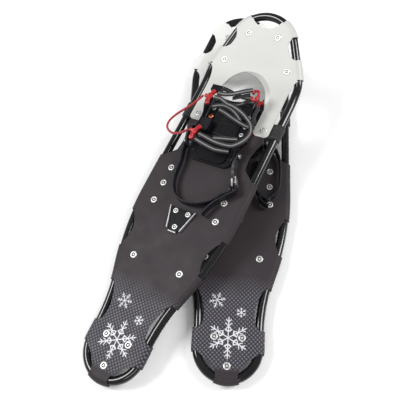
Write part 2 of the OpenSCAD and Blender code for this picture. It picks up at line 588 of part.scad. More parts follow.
// ---------------------------------------------------------------- the two shoes in place
module base_shoe() translate(origin_shift) children();
module base_binding() base_shoe() mirror([1, 0, 0]) children();
module top_shoe() translate(origin_shift + top_place) rotate(top_turn) children();
flat_lift = 0.55;                         // the lower binding is folded to this share of its height

base_shoe() frame_tube();  // base_frame_tube
base_shoe() tail_ferrule();  // base_tail_ferrule
base_shoe() main_deck();  // base_main_deck
base_shoe() toe_deck();  // base_toe_deck
base_shoe() deck_rivets();  // base_deck_rivets
base_shoe() toe_deck_rivets();  // base_toe_deck_rivets
base_shoe() pivot_straps();  // base_pivot_straps
base_shoe() pivot_rod();  // base_pivot_rod
base_shoe() heel_crampon();  // base_heel_crampon
base_shoe() heel_plate();  // base_heel_plate
base_shoe() heel_plate_rivets();  // base_heel_plate_rivets
base_binding() foot_plate();  // base_foot_plate
base_binding() toe_crampon();  // base_toe_crampon
base_binding() tread_panel();  // base_tread_panel
base_binding() heel_pad();  // base_heel_pad
base_binding() left_wing(8, 8, 26);  // base_left_wing
base_binding() right_wing(8, 3, 22);  // base_right_wing
base_binding() wing_rivets();  // base_wing_rivets
base_binding() strap_pins();  // base_strap_pins
base_binding() lace(flat_lift);  // base_lace
base_binding() front_guide(flat_lift);  // base_front_guide
base_binding() rear_guide(flat_lift);  // base_rear_guide
base_binding() ring_guide(flat_lift);  // base_ring_guide
base_binding() pull_loop(tucked_route);  // base_pull_loop
base_binding() heel_strap(open_route, open_end);  // base_heel_strap
base_binding() ladder_link();  // base_ladder_link
base_binding() buckle_frame();  // base_buckle_frame
base_binding() buckle_lever();  // base_buckle_lever
top_shoe() frame_tube();  // top_frame_tube
top_shoe() tail_ferrule();  // top_tail_ferrule
top_shoe() main_deck();  // top_main_deck
top_shoe() toe_deck();  // top_toe_deck
top_shoe() deck_rivets();  // top_deck_rivets
top_shoe() toe_deck_rivets();  // top_toe_deck_rivets
top_shoe() pivot_straps();  // top_pivot_straps
top_shoe() pivot_rod();  // top_pivot_rod
top_shoe() heel_crampon();  // top_heel_crampon
top_shoe() heel_plate();  // top_heel_plate
top_shoe() heel_plate_rivets();  // top_heel_plate_rivets
top_shoe() foot_plate();  // top_foot_plate
top_shoe() toe_crampon();  // top_toe_crampon
top_shoe() tread_panel();  // top_tread_panel
top_shoe() heel_pad();  // top_heel_pad
top_shoe() left_wing(8, 26, 40);  // top_left_wing
top_shoe() right_wing(-4, 16, 30);  // top_right_wing
top_shoe() wing_rivets();  // top_wing_rivets
top_shoe() copper_rivet();  // top_copper_rivet
top_shoe() strap_pins();  // top_strap_pins
top_shoe() lace(1);  // top_lace
top_shoe() lace_tails();  // top_lace_tails
top_shoe() front_guide(1);  // top_front_guide
top_shoe() rear_guide(1);  // top_rear_guide
top_shoe() ring_guide(1);  // top_ring_guide
top_shoe() front_arm();  // top_front_arm
top_shoe() lace_lock();  // top_lace_lock
top_shoe() pull_loop(loop_route);  // top_pull_loop
top_shoe() heel_strap(buckled_route);  // top_heel_strap
top_shoe() ladder_link();  // top_ladder_link
top_shoe() buckle_frame();  // top_buckle_frame
top_shoe() buckle_lever();  // top_buckle_lever
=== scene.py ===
"""Looks for a pair of snowshoes lying crossed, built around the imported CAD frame.

Each shoe is drawn in its own frame, in millimetres: x across, y from tail to head, z up from the deck.
"""

import math

import bmesh
import bpy
import numpy as np
from mathutils import Matrix, Vector
from mathutils.geometry import delaunay_2d_cdt


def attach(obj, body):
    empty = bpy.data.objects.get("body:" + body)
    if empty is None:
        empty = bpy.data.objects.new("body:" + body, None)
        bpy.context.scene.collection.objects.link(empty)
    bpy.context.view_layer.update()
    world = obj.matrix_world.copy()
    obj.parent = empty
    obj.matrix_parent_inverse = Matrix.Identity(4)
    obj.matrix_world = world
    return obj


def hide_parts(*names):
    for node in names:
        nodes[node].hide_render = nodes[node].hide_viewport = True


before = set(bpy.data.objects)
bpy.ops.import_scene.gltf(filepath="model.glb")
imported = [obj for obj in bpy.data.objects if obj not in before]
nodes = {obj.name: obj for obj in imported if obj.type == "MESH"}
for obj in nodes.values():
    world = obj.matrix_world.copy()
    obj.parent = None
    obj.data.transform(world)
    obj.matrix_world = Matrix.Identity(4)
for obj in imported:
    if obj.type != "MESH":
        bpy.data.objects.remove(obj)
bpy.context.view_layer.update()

# ------------------------------------------------------------------ the two shoes' places
SHIFT = np.array([65.38, -376.24, 30.0])
TOP_PLACE = np.array([-220.3, -9.7, -5.6])
TOP_TURN = [math.radians(a) for a in (7.3, -12.5, -24.0)]


def turn(rx, ry, rz):
    return np.array(Matrix.Rotation(rz, 3, "Z") @ Matrix.Rotation(ry, 3, "Y") @ Matrix.Rotation(rx, 3, "X"))


TOP_R = turn(*TOP_TURN)


def to_row(points, shoe, binding=False):
    """Shoe-frame millimetres to row-frame metres. The lower binding is the mirror image of the upper one."""
    p = np.array(points, float).reshape(-1, 3)
    if shoe == "base" and binding:
        p = p * [-1, 1, 1]
    if shoe == "top":
        p = TOP_PLACE + p @ TOP_R.T
    return (p + SHIFT) / 1000


# ------------------------------------------------------------------ camera, light and floor
CAMERA_PLACE = [5.0, -108.2, 904.4]       # in the lower shoe's frame, millimetres
CAMERA_RIGHT, CAMERA_UP = Vector((0.996, 0.072, -0.044)), Vector((-0.045, 0.894, 0.446))
SENSOR = 36.0
FOCAL_SHARE = 518.8 / 400                 # focal length as a share of the picture's width

cam = bpy.data.objects.new("camera", bpy.data.cameras.new("camera"))
bpy.context.scene.collection.objects.link(cam)
bpy.context.scene.camera = cam
right = CAMERA_RIGHT.normalized()
up = (CAMERA_UP - right * CAMERA_UP.dot(right)).normalized()
facing = Matrix((right, up, right.cross(up))).transposed().to_4x4()
cam.matrix_world = Matrix.Translation(to_row(CAMERA_PLACE, "base")[0]) @ facing
cam.data.sensor_width = SENSOR
cam.data.lens = SENSOR * FOCAL_SHARE
cam.data.clip_start, cam.data.clip_end = 0.01, 50
bpy.context.scene.view_settings.view_transform = "Standard"

world = bpy.data.worlds.new("studio")
bpy.context.scene.world = world
world.use_nodes = True
world.node_tree.nodes["Background"].inputs["Color"].default_value = (1, 1, 1, 1)
world.node_tree.nodes["Background"].inputs["Strength"].default_value = 0.40


def area_light(name, place, aim, size, power):
    light = bpy.data.lights.new(name, "AREA")
    light.shape, light.size, light.size_y, light.energy = "RECTANGLE", size[0], size[1], power
    obj = bpy.data.objects.new(name, light)
    bpy.context.scene.collection.objects.link(obj)
    obj.location = place
    obj.rotation_mode = "QUATERNION"
    obj.rotation_quaternion = (Vector(aim) - Vector(place)).to_track_quat("-Z", "Y")


area_light("key", (-1.9, 0.1, 2.2), (0, 0, 0), (1.0, 1.0), 60)
area_light("fill", (1.9, 0.4, 1.9), (0, 0, 0), (0.5, 1.6), 46)
area_light("front", (0.2, -2.0, 1.7), (0, 0, 0), (1.6, 0.4), 14)


# ------------------------------------------------------------------ materials
class Graph:
    """A material's nodes, with short calls for the ones used here."""

    def __init__(self, name):
        self.material = bpy.data.materials.new(name)
        self.material.use_nodes = True
        self.tree = self.material.node_tree
        self.shader = self.tree.nodes["Principled BSDF"]

    def node(self, kind, **values):
        n = self.tree.nodes.new("ShaderNode" + kind)
        for key, value in values.items():
            setattr(n, key, value)
        return n

    def link(self, a, b):
        self.tree.links.new(a, b)

    def math(self, operation, a, b):
        n = self.node("Math", operation=operation)
        for i, v in enumerate((a, b)):
            if isinstance(v, (int, float)):
                n.inputs[i].default_value = v
            else:
                self.link(v, n.inputs[i])
        return n.outputs[0]

    def noise(self, scale, detail=3.0, vector=None):
        n = self.node("TexNoise")
        n.inputs["Scale"].default_value = scale
        n.inputs["Detail"].default_value = detail
        self.link(vector if vector is not None else self.coords(), n.inputs["Vector"])
        return n.outputs["Fac"]

    def coords(self):
        if not hasattr(self, "_coords"):
            self._coords = self.node("TexCoord").outputs["Object"]
        return self._coords

    def ramp(self, value, stops):
        n = self.node("ValToRGB")
        e = n.color_ramp.elements
        while len(e) < len(stops):
            e.new(0.5)
        for el, (at, colour) in zip(e, stops):
            el.position = at
            el.color = (*colour, 1)
        self.link(value, n.inputs["Fac"])
        return n.outputs["Color"]

    def mix(self, factor, a, b):
        n = self.node("Mix", data_type="RGBA")
        if isinstance(factor, (int, float)):
            n.inputs[0].default_value = factor
        else:
            self.link(factor, n.inputs[0])
        for i, v in ((6, a), (7, b)):
            if isinstance(v, tuple):
                n.inputs[i].default_value = (*v, 1)
            else:
                self.link(v, n.inputs[i])
        return n.outputs[2]

    def span(self, value, lo, hi, to_lo=0.0, to_hi=1.0):
        n = self.node("MapRange", clamp=True)
        for key, v in (("From Min", lo), ("From Max", hi), ("To Min", to_lo), ("To Max", to_hi)):
            n.inputs[key].default_value = v
        self.link(value, n.inputs["Value"])
        return n.outputs["Result"]

    def bump(self, height, strength, distance):
        n = self.node("Bump")
        n.inputs["Strength"].default_value = strength
        n.inputs["Distance"].default_value = distance
        self.link(height, n.inputs["Height"])
        self.link(n.outputs["Normal"], self.shader.inputs["Normal"])

    def shoe_xy(self, shoe):
        """Object coordinates taken back to the shoe's own frame, in metres."""
        m = self.node("Mapping", vector_type="TEXTURE")
        m.inputs["Location"].default_value = ((SHIFT + (TOP_PLACE if shoe == "top" else 0)) / 1000).tolist()
        m.inputs["Rotation"].default_value = TOP_TURN if shoe == "top" else (0, 0, 0)
        self.link(self.coords(), m.inputs["Vector"])
        s = self.node("SeparateXYZ")
        self.link(m.outputs["Vector"], s.inputs[0])
        return m.outputs["Vector"], s.outputs["X"], s.outputs["Y"]


def speckled(name, dark, light, rough, metal=0.0, scale=60, grain=900, bump=0.05, rough_span=0.08,
             specular=0.5):
    """A surface whose colour and roughness drift a little, with a fine grain."""
    g = Graph(name)
    drift = g.noise(scale, 4)
    g.link(g.ramp(drift, [(0.3, dark), (0.72, light)]), g.shader.inputs["Base Color"])
    g.link(g.span(drift, 0.25, 0.75, rough - rough_span, rough + rough_span), g.shader.inputs["Roughness"])
    g.shader.inputs["Metallic"].default_value = metal
    g.shader.inputs["Specular IOR Level"].default_value = specular
    g.bump(g.noise(grain, 2), bump, 0.0004)
    return g.material


def woven(name, dark, light, pitch, rough=0.75, bump=0.5):
    """Webbing: fine ribs both ways."""
    g = Graph(name)
    w = []
    for axis in ("X", "Y"):
        n = g.node("TexWave", wave_type="BANDS", bands_direction=axis)
        n.inputs["Scale"].default_value = 1 / pitch / 3.2
        n.inputs["Distortion"].default_value = 0.6
        n.inputs["Detail"].default_value = 1
        g.link(g.coords(), n.inputs["Vector"])
        w.append(n.outputs["Fac"])
    cloth = g.math("MULTIPLY", w[0], w[1])
    g.link(g.ramp(g.math("ADD", cloth, g.math("MULTIPLY", g.noise(40), 0.5)), [(0.2, dark), (1.0, light)]),
           g.shader.inputs["Base Color"])
    g.link(g.span(cloth, 0, 1, rough + 0.1, rough - 0.1), g.shader.inputs["Roughness"])
    g.shader.inputs["Sheen Weight"].default_value = 0.15
    g.bump(cloth, bump, 0.0004)
    return g.material


LATTICE_X, LATTICE_Y = 0.0036, 0.0037     # half a lattice cell across and along the deck, metres
LATTICE_FROM, LATTICE_FULL, LATTICE_FADE, LATTICE_END = 0.022, 0.030, 0.165, 0.205
DECK_DARK, DECK_LIGHT = (0.0255, 0.0205, 0.0235), (0.037, 0.0305, 0.034)
LATTICE_GROUND, LATTICE_INK = (0.022, 0.021, 0.028), (0.165, 0.162, 0.19)


def deck_material(shoe):
    """Dark coated sheet with a printed lattice that fades out above the tail."""
    g = Graph("deck_" + shoe)
    local, x, y = g.shoe_xy(shoe)
    a = g.math("DIVIDE", x, LATTICE_X)
    b = g.math("DIVIDE", y, LATTICE_Y)
    p = g.math("PINGPONG", g.math("ADD", a, b), 1.0)
    q = g.math("PINGPONG", g.math("SUBTRACT", a, b), 1.0)
    cell = g.math("MULTIPLY", g.span(p, 0.2, 0.6), g.span(q, 0.2, 0.6))
    dash = g.math("MULTIPLY", cell, g.span(p, 0.3, 1.0, 0.7, 1.0))
    wander = g.math("MULTIPLY", g.noise(18, 2, vector=local), 0.03)
    fade = g.span(g.math("ADD", y, wander), LATTICE_FADE, LATTICE_END, 1.0, 0.0)
    low = g.span(y, LATTICE_FROM, LATTICE_FULL)
    print_ = g.math("MULTIPLY", g.math("MULTIPLY", dash, fade), low)
    ground = g.ramp(g.noise(7, 5, vector=local), [(0.3, DECK_DARK), (0.75, DECK_LIGHT)])
    toned = g.mix(g.math("MULTIPLY", g.math("MULTIPLY", fade, low), 0.5), ground, LATTICE_GROUND)
    g.link(g.mix(g.math("MULTIPLY", print_, 0.8), toned, LATTICE_INK), g.shader.inputs["Base Color"])
    g.link(g.span(g.noise(30, 3, vector=local), 0.3, 0.7, 0.48, 0.62), g.shader.inputs["Roughness"])
    g.shader.inputs["Specular IOR Level"].default_value = 0.2
    grain = g.math("MULTIPLY", g.noise(1400, 2), 0.5)
    waves = g.math("MULTIPLY", g.noise(24, 2), 1.2)
    g.bump(g.math("ADD", grain, waves), 0.12, 0.0012)
    return g.material


MAT = {
    "tube": speckled("tube", (0.004, 0.004, 0.005), (0.009, 0.009, 0.010), 0.11, scale=30, grain=300,
                     bump=0.015, rough_span=0.03, specular=0.42),
    "ferrule": speckled("ferrule", (0.40, 0.41, 0.43), (0.52, 0.53, 0.55), 0.35, metal=1.0),
    "deck_base": deck_material("base"),
    "deck_top": deck_material("top"),
    # Both shoes have the same white toe sheet. The two copies differ only by painted light: the upper shoe's
    # copy is painted darker than the lower shoe's to offset the stronger light on it.
    "toe_base": speckled("toe_sheet_base_painted_lighter", (0.66, 0.66, 0.64), (0.71, 0.71, 0.69), 0.42, scale=9, grain=700,
                         bump=0.06, specular=0.3),
    "toe_top": speckled("toe_sheet_top_painted_darker", (0.485, 0.483, 0.462), (0.53, 0.528, 0.505), 0.42, scale=9,
                        grain=700, bump=0.06, specular=0.3),
    # The sheets' cut edges are painted darker than their faces: painted shade for the thin shadowed line
    # along each edge.
    "toe_cut": speckled("toe_sheet_edge_painted_shade", (0.30, 0.30, 0.29), (0.42, 0.42, 0.40), 0.6, scale=60, grain=700,
                        bump=0.1),
    "deck_cut": speckled("deck_edge_painted_shade", (0.016, 0.014, 0.016), (0.030, 0.027, 0.030), 0.6, scale=60, grain=700,
                         bump=0.1),
    "rivet": speckled("rivet", (0.53, 0.53, 0.52), (0.70, 0.70, 0.685), 0.36, metal=0.55, scale=200,
                      bump=0.02),
    # Painted shade: near-black standing in for the shade inside each rivet's groove.
    "groove_shade": speckled("rivet_groove", (0.02, 0.02, 0.02), (0.06, 0.06, 0.06), 0.6, scale=200),
    "webbing": woven("webbing", (0.005, 0.005, 0.0055), (0.016, 0.0155, 0.017), 0.0016),
    "steel": speckled("steel", (0.40, 0.40, 0.41), (0.60, 0.60, 0.61), 0.32, metal=0.8, scale=120),
    "crampon": speckled("crampon_steel", (0.26, 0.26, 0.27), (0.40, 0.40, 0.41), 0.4, metal=0.7, scale=90,
                        bump=0.08),
    "dark_link": speckled("dark_link", (0.012, 0.012, 0.014), (0.10, 0.10, 0.105), 0.3, metal=0.5, scale=150),
    "black_steel": speckled("black_steel", (0.006, 0.006, 0.007), (0.013, 0.013, 0.015), 0.38, metal=0.1,
                            scale=80, specular=0.3),
    "plate": speckled("moulded_plate", (0.0055, 0.005, 0.0065), (0.011, 0.010, 0.013), 0.46, scale=50,
                      grain=1600, bump=0.16, specular=0.12),
    "pad": speckled("rubber_pad", (0.004, 0.004, 0.005), (0.008, 0.0075, 0.009), 0.52, scale=40, grain=1500,
                    bump=0.2, specular=0.1),
    "binding": speckled("moulded_binding", (0.004, 0.0045, 0.0065), (0.010, 0.011, 0.016), 0.34, scale=70,
                        grain=1500, bump=0.12, specular=0.2),
    "strap": speckled("strap_rubber", (0.006, 0.006, 0.009), (0.014, 0.013, 0.018), 0.34, scale=60,
                      grain=1300, bump=0.15, specular=0.24),
    "lace": woven("lace_web", (0.0045, 0.0045, 0.005), (0.013, 0.013, 0.014), 0.0012),
    "tracer": woven("lace_tracer", (0.11, 0.11, 0.115), (0.25, 0.25, 0.255), 0.0010, rough=0.6),
    "red": speckled("red_moulding", (0.29, 0.006, 0.010), (0.42, 0.013, 0.016), 0.30, scale=90, grain=900,
                    bump=0.05),
    "cord": woven("red_braid", (0.30, 0.008, 0.013), (0.48, 0.020, 0.025), 0.0011, rough=0.6, bump=0.8),
    "copper": speckled("copper", (0.42, 0.14, 0.06), (0.62, 0.22, 0.10), 0.3, metal=1.0, scale=200),
    "print": speckled("flake_print", (0.52, 0.52, 0.55), (0.68, 0.68, 0.71), 0.5, scale=200, bump=0.1),
}


# ------------------------------------------------------------------ mesh building
def make(name, verts, faces, shoe, body, look, binding=False, stands_for=(), crease=40, looks=None,
         picks=None):
    """A new piece from shoe-frame points. looks and picks give several materials, one index per face."""
    if shoe == "base" and binding:
        faces = [f[::-1] for f in faces]
    mesh = bpy.data.meshes.new(name)
    mesh.from_pydata(to_row(verts, shoe, binding).tolist(), [], faces)
    for m in looks or [look]:
        mesh.materials.append(MAT[m])
    if picks:
        mesh.polygons.foreach_set("material_index", picks)
    mesh.validate()
    bm = bmesh.new()
    bm.from_mesh(mesh)
    bmesh.ops.delete(bm, geom=[v for v in bm.verts if not v.link_faces], context="VERTS")
    bmesh.ops.recalc_face_normals(bm, faces=bm.faces)
    bm.to_mesh(mesh)
    bm.free()
    mesh.shade_smooth()
    mesh.set_sharp_from_angle(angle=math.radians(crease))
    obj = bpy.data.objects.new(name, mesh)
    bpy.context.scene.collection.objects.link(obj)
    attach(obj, body)
    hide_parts(*stands_for)


def soften(obj, width):
    """Rounded edges, in metres."""
    m = obj.modifiers.new("bevel", "BEVEL")
    m.width, m.segments, m.limit_method, m.angle_limit = width, 2, "ANGLE", math.radians(32)


def unit(v):
    return v / np.linalg.norm(v, axis=-1, keepdims=True)


def sweep(path, profile, up):
    """Profile points, given as (side, up), carried along a path. Returns vertices and faces."""
    path, profile = np.array(path, float), np.array(profile, float)
    ahead = np.roll(path, -1, 0) - np.roll(path, 1, 0)
    ahead[0], ahead[-1] = path[1] - path[0], path[-1] - path[-2]
    ahead = unit(ahead)
    up = np.broadcast_to(np.array(up, float), path.shape)
    side = unit(np.cross(ahead, up))
    lift = np.cross(side, ahead)
    across = side[:, None] * profile[None, :, :1]
    above = lift[:, None] * profile[None, :, 1:]
    verts = (path[:, None] + across + above).reshape(-1, 3)
    n, m = len(path), len(profile)
    faces = [[i * m + j, (i + 1) * m + j, (i + 1) * m + (j + 1) % m, i * m + (j + 1) % m]
             for i in range(n - 1) for j in range(m)]
    faces += [list(range(m)), [(n - 1) * m + j for j in range(m)][::-1]]
    return verts, faces


def smooth(points, steps=6):
    """A Catmull-Rom curve through given points."""
    p = np.array(points, float)
    p = np.vstack([2 * p[0] - p[1], p, 2 * p[-1] - p[-2]])
    out = []
    for i in range(1, len(p) - 2):
        for t in np.linspace(0, 1, steps, endpoint=False):
            out.append(0.5 * (2 * p[i] + (p[i + 1] - p[i - 1]) * t
                              + (2 * p[i - 1] - 5 * p[i] + 4 * p[i + 1] - p[i + 2]) * t ** 2
                              + (3 * p[i] - p[i - 1] - 3 * p[i + 1] + p[i + 2]) * t ** 3))
    out.append(p[-2])
    return np.array(out)


def ring(radius, sides):
    a = np.linspace(0, 2 * math.pi, sides, endpoint=False)
    return np.stack([radius * np.cos(a), radius * np.sin(a)], 1)


def merge(parts):
    """Several (vertices, faces) as one."""
    verts, faces, n = [], [], 0
    for v, f in parts:
        verts.append(np.array(v, float).reshape(-1, 3))
        faces += [[i + n for i in face] for face in f]
        n += len(verts[-1])
    return np.vstack(verts), faces


# ------------------------------------------------------------------ the frame's outline and turn-up
TUBE_R, TUBE_Z = 8.0, -10.0
HALF_W, TAIL_R, HEAD_R, CORNER_R = 98.5, 53.5, 70.0, 80.0
FLARE, TAPER = math.radians(17.8), math.radians(24.5)
BEND_S, BEND_R, RAMP = 602.0, 150.0, math.radians(26.5)
TAIL_S, FLARE_S, LOW_R, MID, HEAD_C = 63.5, 87.0, 328.0, 18.0, 697.0
low_end = np.array([TAIL_R + LOW_R * (1 - math.cos(FLARE)), FLARE_S + LOW_R * math.sin(FLARE)])
mid_end = low_end + MID * np.array([math.sin(FLARE), math.cos(FLARE)])
HIGH_R = (HALF_W - mid_end[0]) / (1 - math.cos(FLARE))
high_s = mid_end[1] + HIGH_R * math.sin(FLARE)
taper_top = np.array([HEAD_R * math.cos(TAPER), HEAD_C + HEAD_R * math.sin(TAPER)])
taper_run = (HALF_W - taper_top[0]) / math.sin(TAPER)
corner_cut = CORNER_R * math.tan(TAPER / 2)
corner_s = taper_top[1] - taper_run * math.cos(TAPER) - corner_cut
U1 = TAIL_R * math.pi / 2
U2 = U1 + FLARE_S - TAIL_S
U3 = U2 + LOW_R * FLARE
U4 = U3 + MID
U_HIGH = U4 + HIGH_R * FLARE
U_CORNER = U_HIGH + corner_s - high_s
U_TAPER = U_CORNER + CORNER_R * TAPER
U_ARC = U_TAPER + taper_run - corner_cut
U_HEAD = U_ARC + HEAD_R * (math.pi / 2 - TAPER)


def tube_path(u):
    """x, s and the direction of the outward normal, along the right half of the tube's centre line."""
    if u < U1:
        a = u / TAIL_R - math.pi / 2
        return TAIL_R * math.cos(a), TAIL_S + TAIL_R * math.sin(a), a
    if u < U2:
        return TAIL_R, TAIL_S + u - U1, 0
    if u < U3:
        a = (u - U2) / LOW_R
        return TAIL_R + LOW_R * (1 - math.cos(a)), FLARE_S + LOW_R * math.sin(a), -a
    if u < U4:
        return low_end[0] + (u - U3) * math.sin(FLARE), low_end[1] + (u - U3) * math.cos(FLARE), -FLARE
    if u < U_HIGH:
        a = FLARE - (u - U4) / HIGH_R
        return HALF_W - HIGH_R * (1 - math.cos(a)), high_s - HIGH_R * math.sin(a), -a
    if u < U_CORNER:
        return HALF_W, high_s + u - U_HIGH, 0
    if u < U_TAPER:
        a = (u - U_CORNER) / CORNER_R
        return HALF_W - CORNER_R * (1 - math.cos(a)), corner_s + CORNER_R * math.sin(a), a
    if u < U_ARC:
        r = U_ARC - u
        return taper_top[0] + r * math.sin(TAPER), taper_top[1] - r * math.cos(TAPER), TAPER
    a = TAPER + (u - U_ARC) / HEAD_R
    return HEAD_R * math.cos(a), HEAD_C + HEAD_R * math.sin(a), a


def tilt(s):
    """How far the sheet has turned up at distance s, in radians."""
    return max(0.0, min(RAMP, (s - BEND_S) / BEND_R))


def bend(x, s, h):
    """A point at distance s along the sheet and h above it, with the head turned up."""
    t = tilt(s)
    past = max(0.0, s - BEND_S - BEND_R * RAMP)
    r = BEND_R - h
    return (x, min(s, BEND_S) + r * math.sin(t) + past * math.cos(t),
            BEND_R - r * math.cos(t) + past * math.sin(t))


def beside(u, n, h):
    """A point n outside the tube's centre line and h above the deck; u below 0 is the left half."""
    x, s, a = tube_path(abs(u))
    return bend(math.copysign(1, u) * (x + n * math.cos(a)), s + n * math.sin(a), h)


# ------------------------------------------------------------------ frame tubes
def frame_tube(shoe):
    right_u = np.concatenate([np.linspace(0.5, U2, 30), np.linspace(U2, U_HIGH, 50)[1:],
                              np.linspace(U_HIGH, U_CORNER, 30)[1:],
                              np.linspace(U_CORNER, U_HEAD, 50)[1:]])
    us = [-u for u in right_u] + list(right_u[-2::-1])
    centre = [beside(u, 0, TUBE_Z) for u in us]
    ups = []
    for u in us:
        s = tube_path(abs(u))[1]
        ups.append((0, -math.sin(tilt(s)), math.cos(tilt(s))))
    v, f = sweep(centre, ring(TUBE_R, 28), ups)
    make(shoe + "_tube_look", v, f, shoe, shoe + "_shoe", "tube", stands_for=[shoe + "_frame_tube"])


# ------------------------------------------------------------------ rivets
LATHE_SIDES = 32


def lathe(profile, at, axis):
    """A turned piece: profile is (radius, height) from the outside in."""
    axis = unit(np.array(axis, float))
    a = unit(np.cross(axis, [0.31, 0.95, 0.05]))
    b = np.cross(axis, a)
    at = np.array(at, float)
    verts, faces = [], []
    for k in range(LATHE_SIDES):
        t = 2 * math.pi * k / LATHE_SIDES
        d = a * math.cos(t) + b * math.sin(t)
        verts += [at + d * r + axis * h for r, h in profile]
    m = len(profile)
    for k in range(LATHE_SIDES):
        n = (k + 1) % LATHE_SIDES
        faces += [[k * m + j, n * m + j, n * m + j + 1, k * m + j + 1] for j in range(m - 1)]
    faces += [[k * m for k in range(LATHE_SIDES)][::-1], [k * m + m - 1 for k in range(LATHE_SIDES)]]
    return np.array(verts), faces


WASHER = [(2.0, -3.6), (6.3, 0.02), (6.5, 0.3), (6.2, 0.75), (5.4, 1.05), (4.2, 1.15), (3.7, 0.9),
          (3.4, -0.3), (2.3, -0.3), (2.0, 1.0), (1.4, 1.5), (0.6, 1.65), (0.25, 1.6)]
# The groove faces between washer and head, which get the painted shade.
GROOVE_SHADE_FACES = {6, 7}


def rivets(name, places, shoe, body, node, size=1.0, binding=False):
    parts = []
    for x, s, h in places:
        t = tilt(s)
        parts.append(lathe([(r * size, z * size) for r, z in WASHER], bend(x, s, h),
                           (0, -math.sin(t), math.cos(t))))
    v, f = merge(parts)
    per = [1 if j in GROOVE_SHADE_FACES else 0 for j in range(len(WASHER) - 1)] * LATHE_SIDES + [0, 0]
    make(name, v, f, shoe, body, "rivet", binding=binding, stands_for=[node], crease=50,
         looks=["rivet", "groove_shade"], picks=per * len(places))


DECK_RIVETS = [(0, 31)] + [(k * x, y) for k in (-1, 1)
                           for x, y in ((24, 79), (50.5, 224), (68, 336), (67, 374.5), (67.5, 409))]
TOE_RIVETS = [(k * x, s) for k in (-1, 1) for x, s in ((73, 539), (69, 668), (32, 728))]
HEEL_RIVETS = [(-13.3, 330), (13.3, 330), (0, 300)]
PLATE_TOP = 5.4
WING_RIVETS = [(40, 489), (40, 512), (40, 530), (40, 553), (-40, 489), (-40, 512), (-40, 553)]

# ------------------------------------------------------------------ laces, cords
LACE = [(4.2, 0.2), (3.7, 0.85), (1.35, 1.0), (1.15, 1.25), (-1.15, 1.25), (-1.35, 1.0), (-3.7, 0.85),
        (-4.2, 0.2), (-4.2, -0.2), (-3.7, -0.85), (3.7, -0.85), (4.2, -0.2)]
TRACER_FACES = {2, 3, 4}


def lace(name, route, shoe, body, binding=False, stands_for=(), lift=1.0, up=(0, 0, 1), width=1.0,
         plain=False):
    p = smooth(route, 6)
    p[:, 2] = PLATE_TOP + (p[:, 2] - PLATE_TOP) * lift
    prof = [(x * width, z) for x, z in LACE]
    v, f = sweep(p, prof[::-1], up)
    m = len(prof)
    flipped = {m - 2 - k for k in TRACER_FACES}
    picks = [1 if (not plain and i < (len(p) - 1) * m and i % m in flipped) else 0 for i in range(len(f))]
    make(name, v, f, shoe, body, "lace", binding=binding, stands_for=stands_for, looks=["lace", "tracer"],
         picks=picks)


def cord(name, route, d, shoe, body, binding=False, stands_for=()):
    v, f = sweep(smooth(route, 8), ring(d / 2, 14), (0.1, 0.2, 1))
    make(name, v, f, shoe, body, "cord", binding=binding, stands_for=stands_for, crease=60)


# ------------------------------------------------------------------ decks
DECK_T = 1.6
WRAP_GAP = 0.4                            # between the tube and a sheet wrapped round it
WRAP_END = -165                           # degrees round the tube at which a tab turns back under the sheet
TAB_END, TAB_TURN, TAB_TURN_INNER = -39, -14, -12.5
TAB_LOW, TAB_HIGH = 6.2, 7.8              # the two faces of a tab's return, above the tube's centre
TAIL_OPENING = [(19.5, 0), (22, -5), (28, -9), (36, -11), (46, -12.5), (54, -11), (61, -8.5), (68, -4),
                (71.5, 0)]
LOW_NOTCH = [(114.5, 0), (118, -4), (124, -8), (134, -10), (145, -11), (160, -9), (172, -7), (182, -4),
             (187.5, 0)]
HIGH_NOTCH = [(264.5, 0), (268, -3), (276, -7), (286, -10), (298, -11), (310, -8), (320, -4), (326.5, 0)]
HEAD_SCALLOP = [(721.5, 0), (725, -4), (730, -7.5), (737, -10), (751, -10), (757, -7.5), (762, -3.5),
                (765.5, 0)]
MAIN_TABS = [(75, 114), (191, 258), (332, 455), (-19, 19)]
TOE_TABS = [(683, 721), (766, 802)]
ARM = [(75.5, 449), (73.5, 462), (73, 476), (75, 486), (79, 499), (83, 508), (84, 514), (82.5, 519.5),
       (78, 522.2), (62, 522.2), (57.8, 520.4), (56, 516)]
HOLE_R, HOLE_S = 55.0, 599.0


def flat(u, n=0.0):
    x, s, a = tube_path(u)
    return x + n * math.cos(a), s + n * math.sin(a)


def arc(cx, cy, r, a0, a1, count):
    turns = np.radians(np.linspace(a0, a1, count))
    return [(cx + r * math.cos(a), cy + r * math.sin(a)) for a in turns]


def notched(u0, u1, notches):
    """The sheet's edge over the tube's centre line, with its notches."""
    out, u = [], u0
    for notch in notches:
        out += [flat(v) for v in np.linspace(u, notch[0][0], max(2, int((notch[0][0] - u) / 4)))[:-1]]
        out += [flat(v, n) for v, n in smooth(notch, 4)]
        u = notch[-1][0] + 1
    return out + [flat(v) for v in np.linspace(u, u1, max(2, int((u1 - u) / 4)))]


def both_sides(half):
    """A right-hand outline from the centre line out and back, closed with its mirror image."""
    return half + [(-x, s) for x, s in half[::-1] if abs(x) > 0.01]


def main_outline():
    edge = notched(0, 455, [TAIL_OPENING, LOW_NOTCH, HIGH_NOTCH])
    arm = [tuple(p) for p in smooth(ARM, 3)]
    return both_sides(edge + arm + arc(26, 508, 30, 0, -90, 14))


def toe_outline():
    leg = arc(64, 532, 9, 180, 270, 8) + arc(78, 532, 9, 270, 360, 8)
    shoulder = smooth([(87.5, 625), (89, 637), (91.5, 647), (96, 652.8), (98.3, 654)], 3)
    shoulder = [(87, 600)] + [tuple(p) for p in shoulder]
    edge = notched(U_HIGH + 655 - high_s, 805, [HEAD_SCALLOP])
    notch = arc(0, 782.5, 40, -36, -90, 16)
    return both_sides(leg + shoulder + edge + notch) + arc(0, HOLE_S, HOLE_R, 180, 0, 60)


